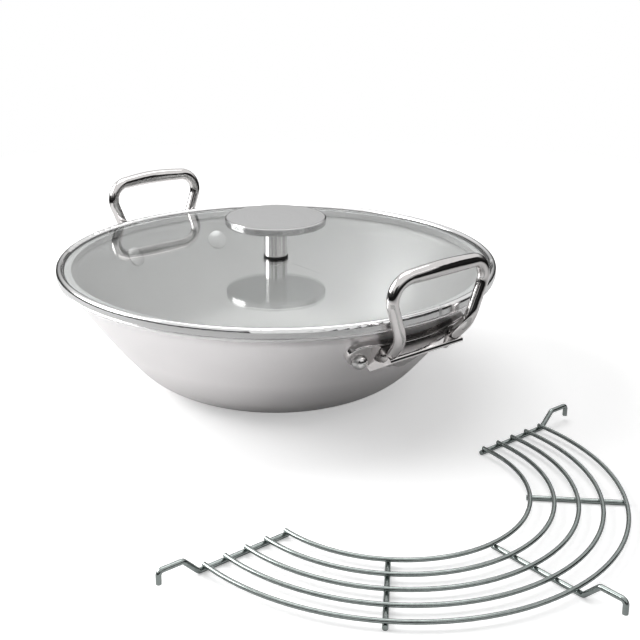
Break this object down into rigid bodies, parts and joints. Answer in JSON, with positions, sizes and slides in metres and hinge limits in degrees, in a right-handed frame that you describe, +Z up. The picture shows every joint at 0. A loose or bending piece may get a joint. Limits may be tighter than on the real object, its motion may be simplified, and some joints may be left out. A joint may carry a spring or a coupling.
{
  "type": "lidded wok",
  "caption": "Flat-based steel wok with two arched side grips, a flat glass lid with a disc knob and a half-round wire rack that hooks on the rim.",
  "frame": {"origin": "centre of the flat base, on the surface that the wok stands on", "axes": "+Z up, X through the two handles with the front handle on +X, Y to the left of the front handle; the rack lies flat on the same surface at +X, -Y"},
  "size_m": [0.5037, 0.369, 0.1225],
  "materials": {
    "pan_steel": "satin, drawn clad steel",
    "cast_steel": "mirror polished cast stainless steel",
    "rivet_steel": "polished stainless steel",
    "band_steel": "fine satin, bright at the hem",
    "knob_steel": "satin top, polished edge",
    "stem_steel": "polished, turned",
    "lid_glass": "clear, tempered, flat",
    "seal_rubber": "matt black",
    "rack_wire": "bright polished wire"
  },
  "bodies": {
    "pan": {"pan_body": "pan_steel", "front_handle": "cast_steel", "back_handle": "cast_steel", "rivet_front_left": "rivet_steel", "rivet_front_right": "rivet_steel", "rivet_back_left": "rivet_steel", "rivet_back_right": "rivet_steel"},
    "lid": {"lid_glass": "lid_glass", "lid_band": "band_steel", "knob_disc": "knob_steel", "knob_stem": "stem_steel", "knob_gasket": "seal_rubber", "under_gasket": "seal_rubber", "knob_washer": "stem_steel", "knob_screw": "stem_steel"},
    "rack": {"rack_ring_1": "rack_wire", "rack_ring_2": "rack_wire", "rack_ring_3": "rack_wire", "rack_ring_4": "rack_wire", "rack_ring_5": "rack_wire", "rack_hook_left": "rack_wire", "rack_hook_middle": "rack_wire", "rack_hook_right": "rack_wire", "rack_brace_left": "rack_wire", "rack_brace_right": "rack_wire"}
  },
  "joints": [
    {"name": "lid_lift", "type": "slide", "parent": "pan", "child": "lid", "axis": [0, 0, 1], "range_m": [0, 0.15]},
    {"name": "rack_lift", "type": "slide", "parent": "pan", "child": "rack", "axis": [0, 0, 1], "range_m": [0, 0.15]}
  ]
}
